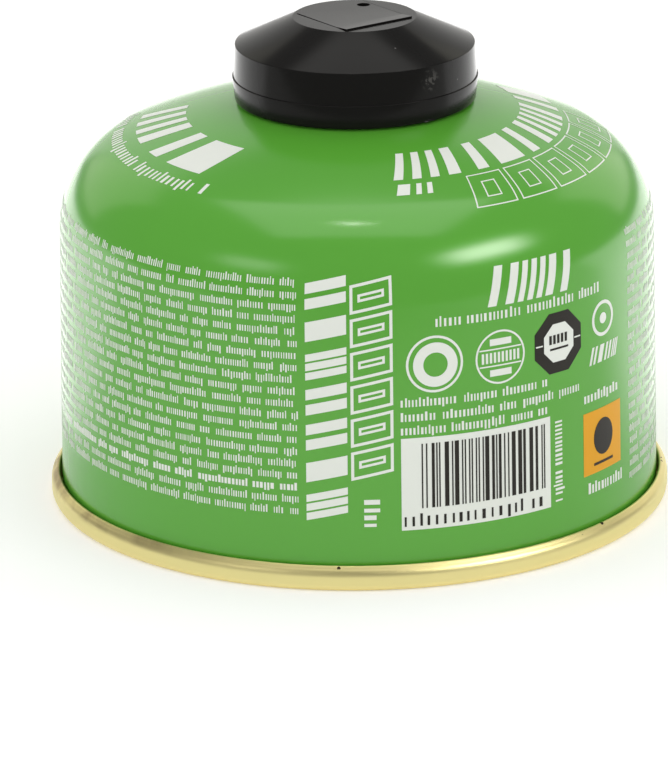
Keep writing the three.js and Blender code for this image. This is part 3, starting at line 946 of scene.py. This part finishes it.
studio = {"surround": 0.98, "mirrored": 0.3, "floor": 0.9, "floorLift": 0.22, "floorFar": 0.1,
          "fadeFrom": -150, "fadeTo": -190, "backGlow": 1.2, "glowFrom": -8, "glowTo": 34, "glowClear": 54,
          "glowSpread": 18, "aim": 40, "boxTint": (1, 0.99, 0.96, 1), "warmTint": (1, 0.975, 0.86, 1)}
boxes = {
    "overhead": {"place": (0, 25, 750), "size": (720, 700), "level": 2.1, "fill": 1.1, "edge": 0.43},
    "backWall": {"place": (0, 640, 280), "size": (640, 620), "level": 0.95, "fill": 0.9, "edge": 0.44},
    "backLeft": {"place": (-450, 520, 355), "size": (520, 560), "level": 1.1, "fill": 1, "edge": 0.4},
    "backRight": {"place": (450, 520, 350), "size": (520, 560), "level": 1.4, "fill": 1, "edge": 0.4},
    "key": {"place": (485, -335, 425), "size": (700, 320), "level": 15, "fill": 2.4, "edge": 0.1},
    "leftGlow": {"place": (-440, -470, 375), "size": (560, 260), "level": 3.4, "fill": 1.8, "edge": 0.1},
    "frontSpot": {"place": (-10, -70, 700), "size": (120, 34), "level": 40, "fill": 1, "edge": 0.2},
}


def addSoftBox(name, box):
    place = Vector(box["place"]) * mm
    shape = bmesh.new()
    bmesh.ops.create_grid(shape, x_segments=1, y_segments=1, size=0.5)
    panel = looseObject(name, shape)
    panel.scale = (box["size"][0] * mm, box["size"][1] * mm, 1)
    panel.location = place
    if name != "overhead":
        aim = Vector((0, 0, studio["aim"] * mm))
        panel.rotation_euler = (aim - place).to_track_quat("Z", "Y").to_euler()
    material = bpy.data.materials.new(name)
    material.use_nodes = True
    tree = material.node_tree
    tree.nodes.remove(tree.nodes["Principled BSDF"])
    wire = tree.links.new
    coordinates = tree.nodes.new("ShaderNodeTexCoord")
    axes = tree.nodes.new("ShaderNodeSeparateXYZ")
    wire(coordinates.outputs["Object"], axes.inputs[0])
    fades = []
    for axis in "XY":
        distance = maths(tree, "ABSOLUTE", axes.outputs[axis])
        fades.append(ranged(tree, distance, 0.5, box["edge"]))
    both = times(tree, *fades)
    rays = tree.nodes.new("ShaderNodeLightPath")
    level = addNode(tree, "ShaderNodeMapRange")
    level.inputs["To Min"].default_value = box["fill"]
    level.inputs["To Max"].default_value = box["level"]
    wire(rays.outputs["Is Glossy Ray"], level.inputs["Value"])
    glow = tree.nodes.new("ShaderNodeEmission")
    warm = name in ("backLeft", "backRight")
    glow.inputs["Color"].default_value = studio["warmTint"] if warm else studio["boxTint"]
    clear = tree.nodes.new("ShaderNodeBsdfTransparent")
    blend = tree.nodes.new("ShaderNodeMixShader")
    wire(times(tree, both, level.outputs[0]), glow.inputs["Strength"])
    hidden = maths(tree, "SUBTRACT", both, rays.outputs["Is Camera Ray"], use_clamp=True)
    wire(hidden, blend.inputs["Fac"])
    wire(clear.outputs[0], blend.inputs[1])
    wire(glow.outputs[0], blend.inputs[2])
    wire(blend.outputs[0], tree.nodes["Material Output"].inputs["Surface"])
    panel.data.materials.append(material)


def addFloor():
    shape = bmesh.new()
    bmesh.ops.create_grid(shape, x_segments=2, y_segments=2, size=1.5)
    floor = looseObject("studioFloor", shape)
    material = bpy.data.materials.new("studioWhite")
    material.use_nodes = True
    tree = material.node_tree
    wire = tree.links.new
    shader = tree.nodes["Principled BSDF"]
    shader.inputs["Roughness"].default_value = 1
    shader.inputs["Specular IOR Level"].default_value = 0
    shader.inputs["Emission Color"].default_value = (1, 1, 1, 1)
    rays = tree.nodes.new("ShaderNodeLightPath")
    glossy = rays.outputs["Is Glossy Ray"]
    place = tree.nodes.new("ShaderNodeTexCoord").outputs["Object"]
    axes = tree.nodes.new("ShaderNodeSeparateXYZ")
    wire(place, axes.inputs[0])

    # Mirrored in the can, the floor is dark far in front of it
    far = ranged(tree, axes.outputs["Y"], studio["fadeFrom"] * mm, studio["fadeTo"] * mm)
    tint = addNode(tree, "ShaderNodeMix", data_type="RGBA")
    tint.inputs["A"].default_value = (*(studio["floor"],) * 3, 1)
    tint.inputs["B"].default_value = (*(studio["floorFar"],) * 3, 1)
    wire(times(tree, far, glossy), tint.inputs["Factor"])
    wire(tint.outputs["Result"], shader.inputs["Base Color"])

    # and glows behind it
    glowFrom, glowTo = studio["glowFrom"] * mm, studio["glowTo"] * mm
    behind = ranged(tree, axes.outputs["Y"], glowFrom, glowTo, studio["backGlow"])
    reach = addNode(tree, "ShaderNodeVectorMath", operation="LENGTH")
    wire(place, reach.inputs[0])
    clear = studio["glowClear"] * mm
    away = ranged(tree, reach.outputs["Value"], clear, clear + studio["glowSpread"] * mm)
    mirrored = times(tree, times(tree, behind, away), glossy)
    seen = maths(tree, "ADD", rays.outputs["Is Camera Ray"], glossy, use_clamp=True)
    lift = maths(tree, "MULTIPLY_ADD", seen, studio["floorLift"], mirrored)
    wire(lift, shader.inputs["Emission Strength"])
    floor.data.materials.append(material)


def addStudio():
    world = bpy.data.worlds.new("surround")
    bpy.context.scene.world = world
    world.use_nodes = True
    tree = world.node_tree
    wire = tree.links.new
    rays = tree.nodes.new("ShaderNodeLightPath")
    level = addNode(tree, "ShaderNodeMapRange")
    level.inputs["To Min"].default_value = studio["surround"]
    level.inputs["To Max"].default_value = studio["mirrored"]
    wire(rays.outputs["Is Glossy Ray"], level.inputs["Value"])
    wire(level.outputs[0], tree.nodes["Background"].inputs["Strength"])
    tree.nodes["Background"].inputs["Color"].default_value = (1, 1, 1, 1)
    addFloor()
    for name, box in boxes.items():
        addSoftBox(name, box)


addStudio()
bpy.context.scene.view_settings.view_transform = "Standard"

print("studio ready")
